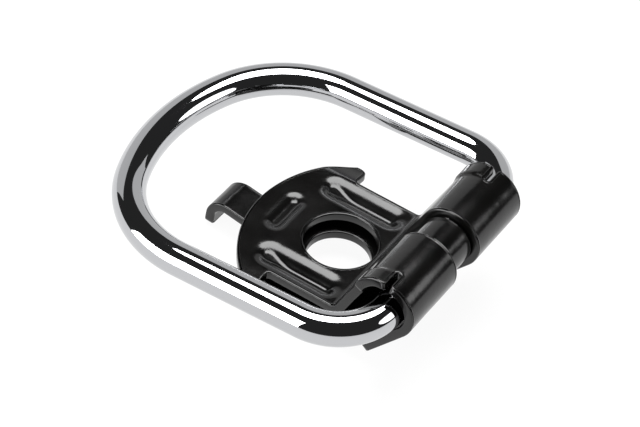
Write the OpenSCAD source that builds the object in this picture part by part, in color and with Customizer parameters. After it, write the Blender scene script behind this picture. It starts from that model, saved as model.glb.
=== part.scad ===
// Folding lashing eye: a D-shaped bail that swings in two curled knuckles of a pressed bracket.
// Frame: origin on the bolt hole's axis at the base plate's underside, +Z up,
// +X along the hinge, +Y from the hinge across the bolt hole towards the locating hook.

/* [Bail] */
// Diameter of the bail's round rod
rod_d = 7; // [6:0.25:7.5]
// Half of the bail's width, from centre line to centre line of its legs
bail_half_w = 31; // [29:0.5:34]
// Centre-line radius of the bend between a leg and its hinge end
corner_r = 11.8; // [9:0.1:11.8]
// Distance from the hinge axis to where the legs start to curve inwards
leg_len = 40.5; // [34:0.5:46]
// Centre-line radius of the shoulders
shoulder_r = 23.5; // [20:0.5:26]
// Angle that each shoulder turns through before the crown
shoulder_deg = 68.4; // [60:0.1:74]
// Sideways play that the bail has taken up towards -X
bail_shift = 0.9; // [0:0.1:1.4]
// Droop of the bail below the bracket's own plane
bail_droop = 3.5; // [0:0.5:8]

/* [Sheet] */
// Thickness of the pressed sheet
sheet_t = 2; // [1.5:0.1:2.2]
// Clear gap between the base plate and the top plate
layer_gap = 2.4; // [2.2:0.1:3.2]
// Radius of the bolt hole through the top plate
hole_r = 7.7; // [6.8:0.1:7.9]
// Radius of the smaller bolt hole through the base plate
base_hole_r = 6.7; // [5:0.1:6.7]
// Half width of the neck that runs to the hinge
neck_half_w = 16.4; // [15.8:0.1:17]

/* [Top plate] */
// Radius of the plate's rounded front edge
front_r = 26.6; // [25:0.1:28]
// Distance from the bolt hole to the centre of the front edge's arc
front_back = 6.7; // [5:0.1:8]
// Half width over the two ears
ear_half_w = 21.2; // [20:0.1:22]
// Where the ears' straight rear edge lies
ear_y = 6.8; // [5:0.1:8]
// Distance of the side ribs from the centre line
rib_x = 12.1; // [12:0.1:12.2]
// Depth that the side ribs are pressed down into the plate
rib_depth = 1.9; // [1:0.1:2]
// Width of the side ribs at the plate's surface
rib_w = 8.2; // [7:0.1:8.4]
// Depth that the short cross rib is pressed down
tie_depth = 1.4; // [0.8:0.1:1.8]

/* [Knuckles] */
// Distance from the bolt hole's axis to the hinge axis
hinge_back = 22.2; // [21:0.1:24]
// Height of the hinge axis over the base plate's underside
hinge_h = 17.2; // [16:0.1:19]
// Inner radius of the curled knuckles
curl_r = 4.9; // [4.8:0.1:5.4]
// Half of the distance between the two knuckles, where the sheet is pressed in between the bail's ends
knuckle_in = 4; // [3:0.1:4.2]
// Distance of the knuckles' outer ends from the centre line
knuckle_out = 20.7; // [20:0.1:22]
// Width of the slit in the top of each knuckle's outer end
slit_w = 1.2; // [0.8:0.1:2]

/* [Locating hook] */
// Width of the hook
hook_w = 8.4; // [6:0.1:10]
// How far the hook's front face lies from the bolt hole
hook_reach = 29.2; // [28:0.1:31]
// How far the hook's tip reaches below the base plate
hook_drop = 3.9; // [2:0.1:6]

/* [Hidden] */
$fn = 64;

eps = 0.01;
rod_r = rod_d / 2;
// Straight stretches and the crown are this much thinner than the bends that they butt against
butt_step = 0.02;
straight_r = rod_r - butt_step;
black = "#26262a";

// Heights of the two layers
top_under = sheet_t + layer_gap;
top_z = top_under + sheet_t;

// Bail: the hinge ends are straight from the bends to the tails
tail_chamfer = 0.6;
tail_x = 5.6;
bend_x = bail_half_w - corner_r;
shoulder_x = bail_half_w - shoulder_r;
crown_r = shoulder_x / cos(shoulder_deg) + shoulder_r;
crown_y = leg_len - shoulder_x * tan(shoulder_deg);

// Knuckle profile: the curl's centre sits a little forward of and above the hinge axis
curl_dy = 0.8;
curl_dz = 0.4;
curl_y = -hinge_back + curl_dy;
curl_z = hinge_h + curl_dz;
curl_out = curl_r + sheet_t;
// Angle on the curl where the steep front wall leaves it, and where the sloping rear leg does
wall_deg = 24.3;
leg_deg = 218.3;
wall_dir = [cos(wall_deg), sin(wall_deg)];
leg_dir = [cos(leg_deg), sin(leg_deg)];
wall_out = [curl_y, curl_z] + curl_out * wall_dir;
wall_in = [curl_y, curl_z] + curl_r * wall_dir;
leg_out = [curl_y, curl_z] + curl_out * leg_dir;
leg_in = [curl_y, curl_z] + curl_r * leg_dir;
// The leg's fall below the horizontal
leg_slope = 270 - leg_deg;
// The plates' rear edges: the wall's foot on the top plate, and a lap past the leg's foot
foot_lap = 1;
plate_rear_y = wall_out[1] < top_z ? wall_out[0] : wall_out[0] + (wall_out[1] - top_z) * tan(wall_deg);
leg_foot_y = leg_out[0] + leg_out[1] / tan(leg_slope);
base_rear_y = leg_foot_y + foot_lap;
// The knuckle's wide outer part ends in a free edge before it reaches the base plate
leg_free_z = 3.6;
// The strip between the knuckles is cut free by a shear on each side and pressed in this far
strip_press = 1.5;
shear_gap = 0.2;
slit_depth = knuckle_out - neck_half_w;

// Base plate and hook
base_front_r = 17.8;
hook_rise = 1.1;
hook_root_y = 17;
hook_bend_r = 2.6;
hook_flat_y = hook_reach - hook_bend_r - sheet_t;

module rod_along_y(len) {
    rotate([-90, 0, 0]) cylinder(r = straight_r, h = len);
}

// A bend of the rod in the XY plane, about the origin, from angle a1 to angle a2
module rod_bend(r, a1, a2, section_r = rod_r) {
    rotate([0, 0, a1])
        rotate_extrude(angle = a2 - a1)
            translate([r, 0]) circle(r = section_r);
}

// A straight hinge end from the bend at x = -bend_x to its chamfered tip at x = -tail_x
module rod_tail() {
    run = bend_x - tail_x - tail_chamfer;
    translate([-bend_x, 0, 0])
        rotate([0, 90, 0]) {
            cylinder(r = straight_r, h = run);
            translate([0, 0, run])
                cylinder(r1 = straight_r, r2 = straight_r - tail_chamfer, h = tail_chamfer);
        }
}

module bail_half() {
    rod_tail();
    translate([-bend_x, corner_r, 0]) rod_bend(corner_r, 180, 270);
    translate([-bail_half_w, corner_r, 0]) rod_along_y(leg_len - corner_r);
    translate([-shoulder_x, leg_len, 0]) rod_bend(shoulder_r, 180 - shoulder_deg, 180);
}

module bail() {
    color("silver")
        translate([-bail_shift, -hinge_back, hinge_h])
            rotate([-bail_droop, 0, 0]) {
                bail_half();
                mirror([1, 0, 0]) bail_half();
                translate([0, crown_y, 0])
                    rod_bend(crown_r, shoulder_deg, 180 - shoulder_deg, straight_r);
            }
}

// Top plate's outline: a neck, and a round front with an ear on each side
module top_outline() {
    ear_r = 1.6;
    difference() {
        union() {
            translate([-neck_half_w, plate_rear_y])
                square([2 * neck_half_w, ear_y + 1 - plate_rear_y]);
            intersection() {
                translate([0, -front_back]) circle(r = front_r, $fn = 96);
                union() {
                    for (s = [-1, 1])
                        translate([s * (ear_half_w - ear_r), ear_y + ear_r]) circle(r = ear_r, $fn = 32);
                    translate([-ear_half_w + ear_r, ear_y])
                        square([2 * (ear_half_w - ear_r), front_r]);
                    translate([-ear_half_w, ear_y + ear_r])
                        square([2 * ear_half_w, front_r]);
                }
            }
        }
        circle(r = hole_r);
    }
}

// A round-ended bar of radius r along Y, from y1 to y2
module rib_bar(r, y1, y2) {
    translate([0, y1, 0]) sphere(r = r, $fn = 32);
    translate([0, y1, 0]) rotate([-90, 0, 0]) cylinder(r = r, h = y2 - y1, $fn = 32);
    translate([0, y2, 0]) sphere(r = r, $fn = 32);
}

// The bars whose lowest parts shape the three pressed ribs, sunk below a face at height z
module rib_bars(z) {
    rib_r = (pow(rib_w / 2, 2) + pow(rib_depth, 2)) / (2 * rib_depth);
    rib_y1 = -4.4;
    rib_y2 = 8.6;
    tie_half = 4;
    tie_r = 3;
    tie_y = 13.4;
    for (s = [-1, 1])
        translate([s * rib_x, 0, z - rib_depth + rib_r]) rib_bar(rib_r, rib_y1, rib_y2);
    translate([-tie_half, tie_y, z - tie_depth + tie_r])
        rotate([0, 0, -90]) rib_bar(tie_r, 0, 2 * tie_half);
}

module top_plate() {
    color(black)
        difference() {
            union() {
                translate([0, 0, top_under]) linear_extrude(sheet_t) top_outline();
                intersection() {
                    rib_bars(top_under);
                    translate([-ear_half_w, plate_rear_y, 0])
                        cube([2 * ear_half_w, 2 * front_r, top_under + eps]);
                }
            }
            rib_bars(top_z);
        }
}

module base_plate() {
    color(black)
        linear_extrude(sheet_t)
            difference() {
                intersection() {
                    translate([-neck_half_w, base_rear_y])
                        square([2 * neck_half_w, hook_root_y - base_rear_y]);
                    union() {
                        circle(r = base_front_r, $fn = 96);
                        translate([-neck_half_w, base_rear_y])
                            square([2 * neck_half_w, -base_rear_y]);
                    }
                }
                circle(r = base_hole_r);
            }
}

// The curl alone, as a sheet profile in Y (first) and Z (second), from the wall round to the leg,
// with its radii smaller by press
module curl_profile(press = 0) {
    far = 3 * curl_out;
    open_steps = 4;
    open_turn = (360 + wall_deg - leg_deg) / open_steps;
    translate([curl_y, curl_z])
        difference() {
            circle(r = curl_out - press);
            circle(r = curl_r - press);
            polygon(concat([[0, 0]], [for (i = [0:open_steps])
                far * [cos(leg_deg + i * open_turn), sin(leg_deg + i * open_turn)]]));
        }
}

// The sloping rear leg, from the curl down to a free edge
module free_leg_profile() {
    down = [cos(leg_deg + 90), sin(leg_deg + 90)];
    run = (leg_out[1] - leg_free_z) / sin(leg_slope);
    polygon([leg_out, leg_in, leg_in + run * down, leg_out + run * down]);
}

// The whole rear leg, from the curl to the base plate's rear edge
module leg_profile(press = 0) {
    shift = press * leg_dir;
    polygon([leg_out - shift, leg_in - shift, [base_rear_y, sheet_t], [base_rear_y, 0], [leg_foot_y, 0]]);
}

// The steep wall that joins the top plate to the curl
module wall_profile(press = 0) {
    wall_width = sheet_t / cos(wall_deg);
    shift = press * wall_dir;
    polygon([wall_out - shift, wall_in - shift, [plate_rear_y - wall_width, top_under], [plate_rear_y, top_under],
             [plate_rear_y, top_z]]);
}

// Stands a Y-Z profile up along X, from x1 to x2
module along_x(x1, x2) {
    translate([x1, 0, 0]) rotate([90, 0, 90]) linear_extrude(x2 - x1) children();
}

module knuckle() {
    color(black)
        difference() {
            union() {
                along_x(knuckle_in, knuckle_out) {
                    curl_profile();
                    free_leg_profile();
                }
                along_x(knuckle_in, neck_half_w) {
                    wall_profile();
                    leg_profile();
                }
            }
            // The slit beside the tongue at the top of the outer end
            translate([neck_half_w, curl_y - curl_dy, curl_z])
                cube([slit_depth + eps, slit_w, 2 * curl_out]);
        }
}

module right_knuckle() {
    knuckle();
}

module left_knuckle() {
    mirror([1, 0, 0]) knuckle();
}

// The strip between the knuckles: it keeps the bail's two ends apart
module centre_strip() {
    half = knuckle_in - shear_gap;
    color(black)
        along_x(-half, half) {
            curl_profile(strip_press);
            wall_profile(strip_press);
            leg_profile(strip_press);
        }
}

// The hook: it rises from the base plate's front, then turns down past the plate's underside
module locating_hook() {
    bend_z = sheet_t + hook_rise - hook_bend_r - sheet_t;
    color(black)
        along_x(-hook_w / 2, hook_w / 2) {
            polygon([[hook_root_y, 0], [hook_flat_y, hook_rise], [hook_flat_y, sheet_t + hook_rise],
                     [hook_root_y, sheet_t]]);
            intersection() {
                translate([hook_flat_y, bend_z])
                    difference() {
                        circle(r = hook_bend_r + sheet_t);
                        circle(r = hook_bend_r);
                    }
                translate([hook_flat_y, bend_z]) square(2 * hook_bend_r + sheet_t);
            }
            translate([hook_reach - sheet_t, -hook_drop]) square([sheet_t, bend_z + hook_drop]);
        }
}

bail();
top_plate();
base_plate();
left_knuckle();
right_knuckle();
centre_strip();
locating_hook();
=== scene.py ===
"""Looks for the folding lashing eye: a chromed rod bail and a black-coated folded sheet bracket.

The frame is the CAD's own: origin on the bolt hole's axis at the base plate's underside, +Z up, +X along
the hinge, +Y from the hinge across the bolt hole. The part's sizes are in mm, and mesh_object turns them
into metres; the studio's and the camera's places are in metres.
"""

import math

import bpy
import numpy as np
from mathutils import Matrix, Vector, noise
from mathutils.geometry import delaunay_2d_cdt


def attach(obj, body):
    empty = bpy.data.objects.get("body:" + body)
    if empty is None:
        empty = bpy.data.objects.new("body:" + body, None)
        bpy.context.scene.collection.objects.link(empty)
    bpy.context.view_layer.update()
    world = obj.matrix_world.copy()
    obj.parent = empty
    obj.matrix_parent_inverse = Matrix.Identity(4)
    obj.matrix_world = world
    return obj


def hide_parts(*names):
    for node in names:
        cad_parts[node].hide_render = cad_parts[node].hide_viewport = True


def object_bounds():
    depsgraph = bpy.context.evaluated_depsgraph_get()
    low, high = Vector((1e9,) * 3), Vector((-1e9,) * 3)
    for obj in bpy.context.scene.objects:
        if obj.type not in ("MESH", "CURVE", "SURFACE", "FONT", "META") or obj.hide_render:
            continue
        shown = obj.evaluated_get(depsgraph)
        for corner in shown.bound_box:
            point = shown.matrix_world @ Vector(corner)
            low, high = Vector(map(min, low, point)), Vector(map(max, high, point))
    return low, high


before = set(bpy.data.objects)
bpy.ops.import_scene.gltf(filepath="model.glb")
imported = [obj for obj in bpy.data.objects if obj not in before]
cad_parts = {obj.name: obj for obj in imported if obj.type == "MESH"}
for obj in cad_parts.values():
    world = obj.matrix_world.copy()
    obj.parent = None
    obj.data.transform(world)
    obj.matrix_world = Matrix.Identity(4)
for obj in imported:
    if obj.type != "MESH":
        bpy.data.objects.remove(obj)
cad_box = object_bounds()

MM = 0.001

# ---------------------------------------------------------------- driving dimensions, in mm

# As in the CAD, with the rod and the hook's tip a hair smaller, so that the looks stay in its box

ROD_R = 3.48
BAIL_HALF_W = 31.0
CORNER_R = 11.8
LEG_LEN = 40.5
SHOULDER_R = 23.5
SHOULDER = math.radians(68.4)
BAIL_SHIFT = 0.9
BAIL_DROOP = math.radians(3.5)
TAIL_X = 5.6
HINGE_Y, HINGE_Z = -22.2, 17.2

SHEET = 2.0
TOP_Z = 6.4
HOLE_R = 7.7
BASE_HOLE_R = 6.7
NECK_HALF_W = 16.4
FRONT_R = 26.6
FRONT_BACK = 6.7
EAR_HALF_W = 21.2
EAR_Y = 6.8
EAR_TIP_R = 1.6

# The curl's centre sits a little forward of and above the hinge axis
CURL_DY, CURL_DZ = 0.8, 0.4
CURL_Y, CURL_Z = HINGE_Y + CURL_DY, HINGE_Z + CURL_DZ
CURL_INNER_R = 4.9
CURL_R = CURL_INNER_R + SHEET / 2
WALL = math.radians(24.3)
LEG = math.radians(218.3)
KNUCKLE_IN = 4.0
KNUCKLE_OUT = 20.7
# The strip between the knuckles is sheared free on both sides and pressed in
STRIP_PRESS = 1.5
SHEAR_GAP = 0.2

BASE_FRONT_R = 17.8
HOOK_W = 8.4
HOOK_ROOT_Y = 17.0
HOOK_REACH = 29.2
HOOK_DROP = 3.85

# Rounding of the sheet's cut edges, and of the rod's cut ends
EDGE_R = 0.3
ROD_RIM_R = 0.55

# Folds of the sheet's middle line
WALL_BEND_R = 2.4
BASE_BEND_R = 2.5
HOOK_RISE_R = 6.0
HOOK_LIFT = math.radians(9)
HOOK_BEND_R = 3.4
HOOK_LEAN = math.radians(4)

# The blank's outline: where the neck ends and the tongue starts below the curl, the slit's two edges in
# degrees on the curl, and how far down the leg its wide part ends
NECK_END, TONGUE_START = 1.5, 1.3
SLIT_DEG = (86.7, 96.7)
LEG_FREE = 12.0

# Pressed ribs: two along Y, and the short cross rib (the tie) along X
RIB_X, RIB_Y1, RIB_Y2 = 12.1, -4.4, 9.0
RIB_HALF_W, RIB_DEPTH, RIB_CREST_R, RIB_ROOT_R = 4.2, 1.9, 4.7, 1.0
TIE_Y, TIE_HALF = 13.6, 3.5
TIE_HALF_W, TIE_DEPTH, TIE_CREST_R, TIE_ROOT_R = 3.1, 0.95, 3.2, 1.1
FLANK = math.radians(44)

# Hand-formed looks of the sheet: bent ears, sprung tongue, uneven skin
EAR_BEND_RIGHT, EAR_BEND_LEFT = 0.9, 0.2
TONGUE_FLARE = 0.45
SKIN_DROP, LUMP_HEIGHT, FINE_HEIGHT = 0.07, 0.05, 0.012

# Where the coat has chipped on the curl's sheared rim, in degrees on the curl
CHIP_MIDDLE, CHIP_SPREAD = 108.0, 34.0


def mesh_object(name, verts, faces, smooth=True):
    mesh = bpy.data.meshes.new(name)
    mesh.from_pydata([Vector(v) * MM for v in verts], [], faces)
    mesh.validate()
    mesh.update()
    if smooth:
        mesh.polygons.foreach_set("use_smooth", [True] * len(mesh.polygons))
    obj = bpy.data.objects.new(name, mesh)
    bpy.context.scene.collection.objects.link(obj)
    return obj


# ---------------------------------------------------------------- the bail's rod

def arc_points(centre, radius, a1, a2, step=0.45):
    count = max(2, int(abs(a2 - a1) * radius / step))
    return [(centre[0] + radius * math.cos(a), centre[1] + radius * math.sin(a))
            for a in (a1 + (a2 - a1) * i / count for i in range(1, count + 1))]


def bail_route():
    """Centre line in the bail's own plane, from the left tail's tip round to the right tail's tip."""
    bend_x = BAIL_HALF_W - CORNER_R
    shoulder_x = BAIL_HALF_W - SHOULDER_R
    crown_r = shoulder_x / math.cos(SHOULDER) + SHOULDER_R
    crown_y = LEG_LEN - shoulder_x * math.tan(SHOULDER)
    route = [(x, 0.0) for x in np.linspace(-TAIL_X, -bend_x, 14)]
    route += arc_points((-bend_x, CORNER_R), CORNER_R, -math.pi / 2, -math.pi)
    route += [(-BAIL_HALF_W, y) for y in np.linspace(CORNER_R, LEG_LEN, 24)[1:]]
    route += arc_points((-shoulder_x, LEG_LEN), SHOULDER_R, math.pi, math.pi - SHOULDER)
    route += arc_points((0.0, crown_y), crown_r, math.pi - SHOULDER, SHOULDER)
    route += arc_points((shoulder_x, LEG_LEN), SHOULDER_R, SHOULDER, 0.0)
    route += [(BAIL_HALF_W, y) for y in np.linspace(LEG_LEN, CORNER_R, 24)[1:]]
    route += arc_points((bend_x, CORNER_R), CORNER_R, 0.0, -math.pi / 2)
    route += [(x, 0.0) for x in np.linspace(bend_x, TAIL_X, 14)[1:]]
    return np.array(route)


def to_row(points):
    """From the bail's own plane (hinge at the origin) to the row frame at rest."""
    c, s = math.cos(BAIL_DROOP), math.sin(BAIL_DROOP)
    p = np.asarray(points, float)
    return np.stack([p[:, 0] - BAIL_SHIFT,
                     HINGE_Y + p[:, 1] * c + p[:, 2] * s,
                     HINGE_Z - p[:, 1] * s + p[:, 2] * c], axis=1)


def make_bail():
    sides = 72
    route = bail_route()
    tangent = np.gradient(route, axis=0)
    tangent /= np.linalg.norm(tangent, axis=1)[:, None]
    angles = 2 * math.pi * np.arange(sides) / sides
    # Rows: (route index, step along the tangent, radius). The cut ends are flat, with a rounded rim.
    rim_rows = [(ROD_RIM_R * (1 - math.cos(a)), ROD_R - ROD_RIM_R * (1 - math.sin(a)))
                for a in np.linspace(0, math.pi / 2, 7)]
    face_rings = (0.35, 0.7)
    rows = [(0, 0.0, ROD_R * part) for part in face_rings]
    rows += [(0, step, radius) for step, radius in rim_rows]
    rows += [(i, 0.0, ROD_R) for i in range(1, len(route) - 1)]
    rows += [(-1, -step, radius) for step, radius in reversed(rim_rows)]
    rows += [(-1, 0.0, ROD_R * part) for part in reversed(face_rings)]
    points = []
    for i, step, radius in rows:
        x, y = route[i] + tangent[i] * step
        nx, ny = -tangent[i][1], tangent[i][0]
        for a in angles:
            across = radius * math.cos(a)
            points.append((x + across * nx, y + across * ny, radius * math.sin(a)))
    tips = [len(points), len(points) + 1]
    points += [(route[0][0], route[0][1], 0.0), (route[-1][0], route[-1][1], 0.0)]
    verts = to_row(points)
    faces = []
    for r in range(len(rows) - 1):
        for k in range(sides):
            a, b = r * sides + k, r * sides + (k + 1) % sides
            faces.append((a, a + sides, b + sides, b))
    last = (len(rows) - 1) * sides
    for k in range(sides):
        n = (k + 1) % sides
        faces.append((tips[0], k, n))
        faces.append((tips[1], last + n, last + k))
    return mesh_object("bail_rod", verts, faces)


# ---------------------------------------------------------------- the bracket's sheet

class Strip:
    """The sheet's middle line in the Y-Z plane, walked from the top plate's front edge to the hook's tip.

    A step is (length, turn): straight when turn is 0, otherwise an arc through that angle.
    """

    def __init__(self, start, heading):
        self.steps = []
        self.point = start
        self.heading = heading
        self.length = 0.0

    def go(self, length, turn=0.0):
        self.steps.append((self.length, length, turn, self.point, self.heading))
        self.point, self.heading = self._walk(self.point, self.heading, length, turn, length)
        self.length += length
        return self.length

    def bend(self, radius, turn):
        return self.go(radius * abs(turn), turn)

    @staticmethod
    def _walk(point, heading, length, turn, s):
        if turn == 0.0:
            return (point[0] + s * math.cos(heading), point[1] + s * math.sin(heading)), heading
        radius = length / turn
        new = heading + s / radius
        return (point[0] + radius * (math.sin(new) - math.sin(heading)),
                point[1] - radius * (math.cos(new) - math.cos(heading))), new

    def at(self, u):
        """Point and heading at a distance u along the line."""
        step = next((step for step in reversed(self.steps) if u >= step[0]), self.steps[0])
        start, length, turn, point, heading = step
        return self._walk(point, heading, length, turn, u - start)


def bend_inset(radius, turn):
    """How far before the corner of two straight stretches a bend between them starts."""
    return radius * math.tan(abs(turn) / 2)


FRONT_Y = FRONT_R - FRONT_BACK
TOP_MID = TOP_Z - SHEET / 2
# From heading -Y up into the wall
wall_turn = WALL - math.pi / 2
wall_rise = CURL_Z + CURL_R * math.sin(WALL) - TOP_MID
wall_corner_y = CURL_Y + CURL_R * math.cos(WALL) + wall_rise * math.tan(WALL)
leg_heading = LEG + math.pi / 2
leg_fall = CURL_Z + CURL_R * math.sin(LEG) - SHEET / 2
leg_full = leg_fall / -math.sin(leg_heading)
base_turn = 2 * math.pi - leg_heading

strip = Strip((FRONT_Y, TOP_MID), math.pi)
strip.go(FRONT_Y - wall_corner_y - bend_inset(WALL_BEND_R, wall_turn))
U_WALL = strip.bend(WALL_BEND_R, wall_turn)
U_CURL = strip.go(wall_rise / math.cos(WALL) - bend_inset(WALL_BEND_R, wall_turn))
U_LEG = strip.bend(CURL_R, LEG - WALL)
U_BASE_BEND = strip.go(leg_full - bend_inset(BASE_BEND_R, base_turn))
U_BASE = strip.bend(BASE_BEND_R, base_turn)
base_start_y = strip.point[0]
strip.go(HOOK_ROOT_Y - base_start_y)
strip.bend(HOOK_RISE_R, HOOK_LIFT)
hook_turn = HOOK_LEAN - math.pi / 2 - HOOK_LIFT
strip.go((HOOK_REACH - SHEET / 2 - HOOK_BEND_R - strip.point[0]) / math.cos(HOOK_LIFT))
strip.bend(HOOK_BEND_R, hook_turn)
U_TIP = strip.go((strip.point[1] + HOOK_DROP) / math.sin(-strip.heading))

# The shears on both sides of the strip between the knuckles run from low on the wall to low on the leg
STRIP_U1, STRIP_U2 = U_WALL + 1.0, U_BASE_BEND - 1.0


def top_u(y):
    """Distance along the strip to a place y on the top plate."""
    return FRONT_Y - y


def curl_u(degrees):
    """Distance along the strip to an angle on the curl."""
    return U_CURL + CURL_R * (math.radians(degrees) - WALL)


def base_u(y):
    """Distance along the strip to a place y on the base plate."""
    return U_BASE + y - base_start_y


def rounded(corners, step=0.3):
    """A closed outline through (x, u, radius) corners, each corner rounded by its radius."""
    out = []
    count = len(corners)
    for i in range(count):
        x, u, r = corners[i]
        p = Vector((x, u))
        a = Vector(corners[i - 1][:2]) - p
        b = Vector(corners[(i + 1) % count][:2]) - p
        if r <= 0:
            out.append(tuple(p))
            continue
        a.normalize()
        b.normalize()
        half = a.angle(b) / 2
        reach = r / math.tan(half)
        centre = p + (a + b).normalized() * (r / math.sin(half))
        start, end = p + a * reach - centre, p + b * reach - centre
        a1 = math.atan2(start.y, start.x)
        sweep = (math.atan2(end.y, end.x) - a1 + math.pi) % (2 * math.pi) - math.pi
        n = max(3, int(abs(sweep) * r / step))
        turns = [a1 + sweep * k / n for k in range(n + 1)]
        out += [(centre.x + r * math.cos(t), centre.y + r * math.sin(t)) for t in turns]
    return out


def resample(loop, step=0.3):
    """Splits a closed loop's sides into pieces of about one step."""
    out = []
    for i, p in enumerate(loop):
        q = loop[(i + 1) % len(loop)]
        gap = math.dist(p, q)
        n = max(1, int(round(gap / step)))
        if gap < 1e-6:
            continue
        out += [(p[0] + (q[0] - p[0]) * k / n, p[1] + (q[1] - p[1]) * k / n) for k in range(n)]
    return out


def circle_loop(radius, u, step=0.3):
    count = int(2 * math.pi * radius / step)
    turns = [2 * math.pi * k / count for k in range(count)]
    return [(radius * math.cos(t), u - radius * math.sin(t)) for t in turns]


def blank_outline():
    """The blank's outline, right half from the front edge to the hook's tip, then mirrored."""
    # Front arc of the top plate, from the middle to just before the ear's tip, whose rounding needs room
    tip_room, hook_room = 0.6, 1.2
    tip_y = math.sqrt(FRONT_R ** 2 - EAR_HALF_W ** 2) - FRONT_BACK
    a_tip = math.atan2(tip_y + FRONT_BACK, EAR_HALF_W) + tip_room / FRONT_R
    half = [(FRONT_R * math.cos(a), top_u(FRONT_R * math.sin(a) - FRONT_BACK), 0)
            for a in np.linspace(math.pi / 2, a_tip, 84)]
    half += [
        (EAR_HALF_W, top_u(tip_y), 0.5),
        (EAR_HALF_W, top_u(EAR_Y), EAR_TIP_R),
        (NECK_HALF_W, top_u(EAR_Y), 0.8),
        # The neck flares into the tongue beside the curl's slit
        (NECK_HALF_W, U_CURL - NECK_END, 0.7),
        (KNUCKLE_OUT, U_CURL - TONGUE_START, 1.2),
        (KNUCKLE_OUT, curl_u(SLIT_DEG[0]), 0.5),
        (NECK_HALF_W, curl_u(SLIT_DEG[0]), 0.5),
        (NECK_HALF_W, curl_u(SLIT_DEG[1]), 0.5),
        (KNUCKLE_OUT, curl_u(SLIT_DEG[1]), 0.7),
        # The leg's wide part ends free
        (KNUCKLE_OUT, U_LEG + LEG_FREE, 1.0),
        (NECK_HALF_W, U_LEG + LEG_FREE, 0.8),
    ]
    # Base plate: straight sides, then a round front with the hook's strip
    side_y = math.sqrt(BASE_FRONT_R ** 2 - NECK_HALF_W ** 2)
    half_hook = HOOK_W / 2
    hook_y = math.sqrt(BASE_FRONT_R ** 2 - half_hook ** 2)
    a_side = math.atan2(side_y, NECK_HALF_W)
    a_hook = math.atan2(hook_y, half_hook) - hook_room / BASE_FRONT_R
    half += [(BASE_FRONT_R * math.cos(a), base_u(BASE_FRONT_R * math.sin(a)), 0)
             for a in np.linspace(a_side, a_hook, 40)]
    half += [(half_hook, base_u(hook_y), 0.8), (half_hook, U_TIP, 1.2)]
    mirrored = [(-x, u, r) for x, u, r in reversed(half) if x > 1e-6]
    return resample(rounded(half + mirrored))


def inside(points, loop):
    """Even-odd test of many points against one closed loop."""
    a = np.asarray(loop)
    b = np.roll(a, -1, axis=0)
    hit = np.zeros(len(points), bool)
    for (x1, u1), (x2, u2) in zip(a, b):
        if u1 == u2:
            continue
        crosses = (u1 > points[:, 1]) != (u2 > points[:, 1])
        x = x1 + (points[:, 1] - u1) * (x2 - x1) / (u2 - u1)
        hit ^= crosses & (points[:, 0] < x)
    return hit


def signed_area(loop):
    """Positive when the loop runs anticlockwise."""
    a = np.asarray(loop)
    b = np.roll(a, -1, axis=0)
    return 0.5 * np.sum(a[:, 0] * b[:, 1] - b[:, 0] * a[:, 1])


def inward(loop):
    """Unit normals at the loop's points, pointing into the sheet's material (left of travel)."""
    a = np.asarray(loop)
    d = np.roll(a, -1, axis=0) - np.roll(a, 1, axis=0)
    d /= np.linalg.norm(d, axis=1)[:, None]
    return np.stack([-d[:, 1], d[:, 0]], axis=1)


def smooth(t):
    """Eases from 0 to 1 as t goes from 0 to 1."""
    t = max(0.0, min(1.0, t))
    return t * t * (3 - 2 * t)


def trough(distance, half_w, depth, crest_r, root_r):
    """Depth of a pressed trough at a distance from its centre line.

    The sheet rolls over a wide shoulder of radius crest_r, runs straight down a flank where the depth
    needs it, and turns out of a tight root of radius root_r.
    """
    if distance >= half_w or depth <= 0.0:
        return 0.0
    slope = math.acos(max(math.cos(FLANK), 1.0 - depth / (crest_r + root_r)))
    straight = depth - (crest_r + root_r) * (1.0 - math.cos(slope))
    run = straight / math.tan(slope)
    d = half_w - distance
    if d < crest_r * math.sin(slope):
        return crest_r - math.sqrt(crest_r ** 2 - d * d)
    d -= crest_r * math.sin(slope)
    if d < run:
        return crest_r * (1.0 - math.cos(slope)) + d * math.tan(slope)
    d = root_r * math.sin(slope) - (d - run)
    if d <= 0.0:
        return depth
    return depth - root_r + math.sqrt(root_r ** 2 - d * d)


def capsule(x, y, x1, y1, x2, y2):
    """Distance from a point to the segment between two others."""
    dx, dy = x2 - x1, y2 - y1
    t = max(0.0, min(1.0, ((x - x1) * dx + (y - y1) * dy) / (dx * dx + dy * dy)))
    return math.hypot(x - x1 - t * dx, y - y1 - t * dy)


def rib_depth(y):
    """The side ribs are deepest beside the bolt hole and run out gently towards the front."""
    return RIB_DEPTH * (1.0 - 0.6 * smooth((y - 3.5) / 8.0))


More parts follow.
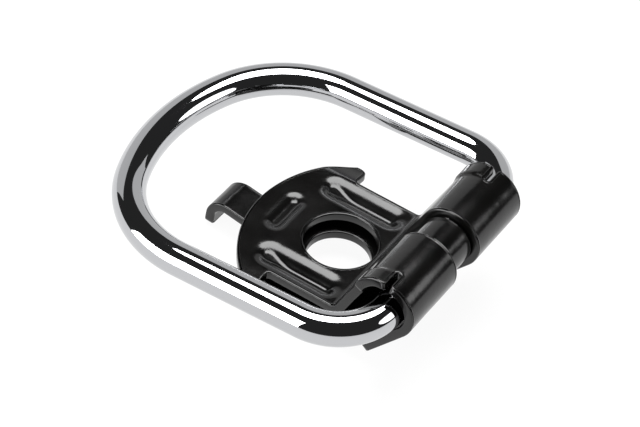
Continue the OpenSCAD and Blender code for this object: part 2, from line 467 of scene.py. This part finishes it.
def relief(x, u):
    """How far the pressed sheet stands off its plain folded shape, towards its outer side."""
    height = 0.0
    if u < U_WALL:
        y = FRONT_Y - u
        from_rib = capsule(abs(x), y, RIB_X, RIB_Y1, RIB_X, RIB_Y2)
        from_tie = capsule(x, y, -TIE_HALF, TIE_Y, TIE_HALF, TIE_Y)
        height -= trough(from_rib, RIB_HALF_W, rib_depth(y), RIB_CREST_R, RIB_ROOT_R)
        height -= trough(from_tie, TIE_HALF_W, TIE_DEPTH, TIE_CREST_R, TIE_ROOT_R)
        # The ears bend down a little, the right one more, from a line near the ribs out to their tips
        ear_bend = EAR_BEND_RIGHT if x > 0 else EAR_BEND_LEFT
        bend_x, bend_y = 15.5, 5.0
        height -= ear_bend * smooth((abs(x) - bend_x) / 5.5) * smooth((y - bend_y) / 3)
    elif U_CURL - 3 < u < U_LEG:
        # The tongue beside the slit is sprung outwards, outside the neck's edge and up to the slit
        degrees = math.degrees(WALL + (u - U_CURL) / CURL_R)
        window = smooth((degrees - 5) / 20) * smooth((91 - degrees) / 30)
        height += TONGUE_FLARE * smooth((abs(x) - 16.3) / 0.9) * window
    if abs(x) < KNUCKLE_IN - SHEAR_GAP / 2 and STRIP_U1 < u < STRIP_U2:
        # The centre strip goes in along the wall, stays in round the curl and comes out along the leg
        height -= STRIP_PRESS * min(smooth((u - STRIP_U1) / (U_CURL - STRIP_U1)),
                                    smooth((STRIP_U2 - u) / (STRIP_U2 - U_LEG)))
    lumps = noise.noise(Vector((x * 0.13, u * 0.13, 3.7)))
    fine = noise.noise(Vector((x * 0.45, u * 0.45, 9.1)))
    return height - SKIN_DROP + LUMP_HEIGHT * lumps + FINE_HEIGHT * fine


def fold(x, u, h):
    """Places a point of the flat blank, h off the sheet's middle, on the folded bracket."""
    (y, z), heading = strip.at(u)
    off = h + relief(x, u)
    return (x, y + off * math.sin(heading), z - off * math.cos(heading))


def make_bracket():
    spacing = 0.4
    outer = blank_outline()
    if signed_area(outer) < 0:
        outer.reverse()
    shears = [resample([(x, STRIP_U1), (x + SHEAR_GAP, STRIP_U1), (x + SHEAR_GAP, STRIP_U2), (x, STRIP_U2)])
              for x in (-KNUCKLE_IN, KNUCKLE_IN - SHEAR_GAP)]
    bolt_holes = [resample(circle_loop(HOLE_R, top_u(0))), resample(circle_loop(BASE_HOLE_R, base_u(0)))]
    loops = [outer, *shears, *bolt_holes]
    for loop in loops[1:]:
        if signed_area(loop) > 0:
            loop.reverse()
    normals = [inward(loop) for loop in loops]
    inner = [np.asarray(loop) + n * EDGE_R for loop, n in zip(loops, normals)]

    # Grid points well inside the material, at least a part of the spacing away from the rims
    batch = 200
    xs = np.arange(-EAR_HALF_W, EAR_HALF_W + spacing, spacing)
    us = np.arange(0, U_TIP + spacing, spacing)
    grid = np.array([(x, u) for u in us for x in xs])
    keep = inside(grid, inner[0])
    for ring in inner[1:]:
        keep &= ~inside(grid, ring)
    grid = grid[keep]
    rim_points = np.concatenate(inner)
    near = np.full(len(grid), 1e9)
    for start in range(0, len(rim_points), batch):
        part = rim_points[start:start + batch]
        near = np.minimum(near, np.sqrt(((grid[:, None] - part[None]) ** 2).sum(-1)).min(1))
    grid = grid[near > spacing * 0.6]

    flat = np.concatenate([rim_points, grid])
    edges, first = [], 0
    for ring in inner:
        edges += [(first + i, first + (i + 1) % len(ring)) for i in range(len(ring))]
        first += len(ring)
    points, _, tris, *_ = delaunay_2d_cdt([Vector(p) for p in flat], edges, [], 0, 1e-7)
    assert len(points) == len(flat), "the blank's outline crosses itself"
    tris = np.array(tris)
    centres = flat[tris].mean(axis=1)
    keep = inside(centres, inner[0])
    for ring in inner[1:]:
        keep &= ~inside(centres, ring)
    tris = tris[keep]
    a, b, c = flat[tris[:, 0]], flat[tris[:, 1]], flat[tris[:, 2]]
    flip = (b[:, 0] - a[:, 0]) * (c[:, 1] - a[:, 1]) - (b[:, 1] - a[:, 1]) * (c[:, 0] - a[:, 0]) < 0
    tris[flip] = tris[flip][:, ::-1]

    half = SHEET / 2
    verts = [fold(x, u, half) for x, u in flat] + [fold(x, u, -half) for x, u in flat]
    count = len(flat)
    # Seen from the sheet's outer side, x and u are left-handed, so its faces run the other way round
    faces = [tuple(t[::-1]) for t in tris] + [tuple(t + count) for t in tris]

    # Rounded rims: rows from the outer face's ring round to the inner face's ring
    turns = np.linspace(0, math.pi / 2, 5)[1:]
    rows = [(EDGE_R * (1 - math.sin(t)), half - EDGE_R * (1 - math.cos(t))) for t in turns]
    rows += [(inset, -h) for inset, h in reversed(rows)]
    ring_start = 0
    for loop, n in zip(loops, normals):
        size = len(loop)
        previous = [ring_start + i for i in range(size)]
        for inset, h in rows:
            start = len(verts)
            verts += [fold(*(np.asarray(p) + q * inset), h) for p, q in zip(loop, n)]
            current = [start + i for i in range(size)]
            faces += [(previous[i], current[i], current[(i + 1) % size], previous[(i + 1) % size])
                      for i in range(size)]
            previous = current
        current = [count + ring_start + i for i in range(size)]
        faces += [(previous[i], current[i], current[(i + 1) % size], previous[(i + 1) % size])
                  for i in range(size)]
        ring_start += size
    obj = mesh_object("bracket_sheet", verts, faces)
    weighted = obj.modifiers.new("flat_faces_stay_flat", "WEIGHTED_NORMAL")
    weighted.keep_sharp = True
    return obj


# ---------------------------------------------------------------- materials

def mark_chips(obj):
    """Marks the points where the coat has chipped off the left knuckle's sheared rim."""
    rim_depth = 0.6
    chips = obj.data.attributes.new("chip", "FLOAT", "POINT")
    for i, v in enumerate(obj.data.vertices):
        x, y, z = (c / MM for c in v.co)
        at_rim = 1.0 - smooth((abs(abs(x) - KNUCKLE_IN) - 0.1) / 0.45)
        degrees = math.degrees(math.atan2(z - CURL_Z, y - CURL_Y))
        outer = math.hypot(z - CURL_Z, y - CURL_Y) > CURL_R + SHEET / 2 - rim_depth
        worn = smooth(1.0 - abs(degrees - CHIP_MIDDLE) / CHIP_SPREAD) if outer and x < 0 else 0.0
        speckle = noise.noise(Vector((x * 0.5, y * 1.1, z * 1.1)))
        chips.data[i].value = at_rim * worn * smooth((speckle + 0.12) / 0.15)


def new_material(name):
    mat = bpy.data.materials.new(name)
    mat.use_nodes = True
    tree = mat.node_tree
    return mat, tree, tree.nodes["Principled BSDF"]


def add_noise(tree, scale, detail=4.0, roughness=0.5):
    node = tree.nodes.new("ShaderNodeTexNoise")
    node.inputs["Scale"].default_value = scale
    node.inputs["Detail"].default_value = detail
    node.inputs["Roughness"].default_value = roughness
    coords = tree.nodes.new("ShaderNodeTexCoord")
    tree.links.new(coords.outputs["Object"], node.inputs["Vector"])
    return node


def add_ramp(tree, source, stops):
    ramp = tree.nodes.new("ShaderNodeValToRGB")
    ramp.color_ramp.elements[0].position = stops[0][0]
    ramp.color_ramp.elements[0].color = (*stops[0][1], 1)
    ramp.color_ramp.elements[1].position = stops[1][0]
    ramp.color_ramp.elements[1].color = (*stops[1][1], 1)
    tree.links.new(source, ramp.inputs["Fac"])
    return ramp


def add_bump(tree, height, strength, distance, normal=None):
    bump = tree.nodes.new("ShaderNodeBump")
    bump.inputs["Strength"].default_value = strength
    bump.inputs["Distance"].default_value = distance
    tree.links.new(height, bump.inputs["Height"])
    if normal is not None:
        tree.links.new(normal, bump.inputs["Normal"])
    return bump.outputs["Normal"]


def chrome_material():
    mat, tree, shader = new_material("polished_chrome")
    shader.inputs["Base Color"].default_value = (0.52, 0.525, 0.54, 1)
    shader.inputs["Metallic"].default_value = 1.0
    # Faint haze, and a slow ripple left by buffing
    haze = add_noise(tree, 260.0, 6.0, 0.6)
    ramp = add_ramp(tree, haze.outputs["Fac"], [(0.35, (0.02,) * 3), (0.75, (0.06,) * 3)])
    tree.links.new(ramp.outputs["Color"], shader.inputs["Roughness"])
    ripple = add_noise(tree, 55.0, 2.0)
    normal = add_bump(tree, ripple.outputs["Fac"], 0.25, 0.00006)
    tree.links.new(normal, shader.inputs["Normal"])
    return mat


def coating_material():
    mat, tree, shader = new_material("black_coating")
    shader.inputs["Specular IOR Level"].default_value = 0.5
    # Slightly uneven black, a touch browner and lighter where the coat is thin
    patches = add_noise(tree, 90.0, 5.0)
    thick, thin = (0.0012, 0.0012, 0.0012), (0.003, 0.0028, 0.0026)
    ramp = add_ramp(tree, patches.outputs["Fac"], [(0.3, thick), (0.75, thin)])
    tree.links.new(ramp.outputs["Color"], shader.inputs["Base Color"])
    sheen = add_noise(tree, 140.0, 4.0)
    rough = add_ramp(tree, sheen.outputs["Fac"], [(0.3, (0.13,) * 3), (0.75, (0.21,) * 3)])
    tree.links.new(rough.outputs["Color"], shader.inputs["Roughness"])
    # Bare steel where the coat has chipped
    chip = tree.nodes.new("ShaderNodeAttribute")
    chip.attribute_name = "chip"
    tree.links.new(chip.outputs["Fac"], shader.inputs["Metallic"])
    bare = tree.nodes.new("ShaderNodeMix")
    bare.data_type = "RGBA"
    bare.inputs["B"].default_value = (0.8, 0.8, 0.8, 1)
    tree.links.new(chip.outputs["Fac"], bare.inputs["Factor"])
    tree.links.new(ramp.outputs["Color"], bare.inputs["A"])
    tree.links.new(bare.outputs["Result"], shader.inputs["Base Color"])
    # Orange peel of the dipped coat, with the pressed steel's finer grain beneath
    peel = add_noise(tree, 900.0, 3.0)
    normal = add_bump(tree, peel.outputs["Fac"], 0.35, 0.00004)
    grain = add_noise(tree, 4200.0, 2.0)
    normal = add_bump(tree, grain.outputs["Fac"], 0.2, 0.00001, normal)
    tree.links.new(normal, shader.inputs["Normal"])
    return mat


def glow_material(name, radiance, albedo):
    """White paper that glows as if lit through, and takes a little of the studio's light and shade."""
    mat, tree, shader = new_material(name)
    shader.inputs["Base Color"].default_value = (albedo, albedo, albedo, 1)
    shader.inputs["Roughness"].default_value = 0.9
    shader.inputs["Specular IOR Level"].default_value = 0.0
    shader.inputs["Emission Color"].default_value = (1, 1, 1, 1)
    shader.inputs["Emission Strength"].default_value = radiance
    return mat


# ---------------------------------------------------------------- studio

def bearing(degrees):
    """Horizontal unit vector at an azimuth counted from +Y towards +X."""
    return Vector((math.sin(math.radians(degrees)), math.cos(math.radians(degrees)), 0.0))


def card(name, centre, facing, width, height, material):
    """An upright staged card whose middle is at centre and which faces back along an azimuth."""
    side = bearing(facing + 90) * width / 2
    rise = Vector((0, 0, height / 2))
    corners = [centre - side - rise, centre + side - rise, centre + side + rise, centre - side + rise]
    obj = mesh_object(name, [c / MM for c in corners], [(0, 1, 2, 3)], False)
    obj.data.materials.append(material)
    return obj


def softbox(name, centre, aim, width, height, radiance, shape="RECTANGLE"):
    """An area light of a given radiance whose front faces along aim."""
    light = bpy.data.lights.new(name, "AREA")
    light.shape = shape
    light.size, light.size_y = width, height
    area = width * height * (math.pi / 4 if shape == "ELLIPSE" else 1)
    light.energy = radiance * math.pi * area
    obj = bpy.data.objects.new(name, light)
    bpy.context.scene.collection.objects.link(obj)
    obj.location = centre
    obj.rotation_euler = (-Vector(aim)).to_track_quat("Z", "Y").to_euler()
    return obj


def make_studio():
    world = bpy.data.worlds.new("studio")
    bpy.context.scene.world = world
    world.use_nodes = True
    background = world.node_tree.nodes["Background"]
    background.inputs["Color"].default_value = (1, 1, 1, 1)
    background.inputs["Strength"].default_value = 0.03

    # White paper under the part, and a grey sweep of it behind
    floor_z = min(cad_box[0][2], 0.0) - 0.0005
    back = bearing(57.5)
    across = bearing(147.5)
    half_w, front, rear = 1.17, -0.9, 0.9
    plan = ((front, -half_w), (front, half_w), (rear, half_w), (rear, -half_w))
    corners = [(back * f + across * w + Vector((0, 0, floor_z))) / MM for f, w in plan]
    floor = mesh_object("floor", corners, [(0, 1, 2, 3)], False)
    floor.data.materials.append(glow_material("white_paper", 0.93, 0.08))
    card("backdrop", back * rear + Vector((0, 0, 0.35)), 57.5, 2 * half_w, 0.7,
         glow_material("grey_paper", 0.66, 0.05))

    # Overhead box a little behind the part
    above = back * 0.085 + Vector((0, 0, 0.36))
    top = softbox("softbox_top", above, (0, 0, -1), 0.37, 0.25, 10, "ELLIPSE")
    top.rotation_euler = (0, 0, math.radians(-47))
    # Upright boxes on the part's two sides
    left = bearing(278) * 0.42 + bearing(8) * 0.315 + Vector((0, 0, 0.185))
    softbox("softbox_left", left, -bearing(278), 0.57, 0.35, 9)
    right = bearing(157) * 0.6 + Vector((0, 0, 0.29))
    softbox("softbox_right", right, -bearing(157), 0.44, 0.4, 3.2, "ELLIPSE")


def make_camera():
    """A long lens from the front left and above, slightly rolled."""
    aim = Vector((0.486, 5.857, 10.0)) * MM
    distance = 560.0 * MM
    azimuth, elevation, roll = math.radians(-62.611), math.radians(44.431), math.radians(8.283)
    back = Vector((math.sin(azimuth) * math.cos(elevation), -math.cos(azimuth) * math.cos(elevation),
                   math.sin(elevation)))
    right = (-back).cross(Vector((0, 0, 1))).normalized()
    up = back.cross(right)
    turned_right = right * math.cos(roll) + up * math.sin(roll)
    turned_up = back.cross(turned_right)
    data = bpy.data.cameras.new("camera")
    data.sensor_width = 36.0
    data.lens = 156.14
    data.clip_start, data.clip_end = 0.01, 20.0
    obj = bpy.data.objects.new("camera", data)
    bpy.context.scene.collection.objects.link(obj)
    obj.matrix_world = Matrix.Translation(aim + back * distance) @ Matrix(
        (turned_right, turned_up, back)).transposed().to_4x4()
    bpy.context.scene.camera = obj


make_camera()
make_studio()

bail = make_bail()
bail.data.materials.append(chrome_material())
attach(bail, "bail")
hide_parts("bail")

bracket = make_bracket()
mark_chips(bracket)
bracket.data.materials.append(coating_material())
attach(bracket, "bracket")
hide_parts("top_plate", "base_plate", "left_knuckle", "right_knuckle", "centre_strip",
            "locating_hook")

bpy.context.scene.view_settings.view_transform = "Standard"
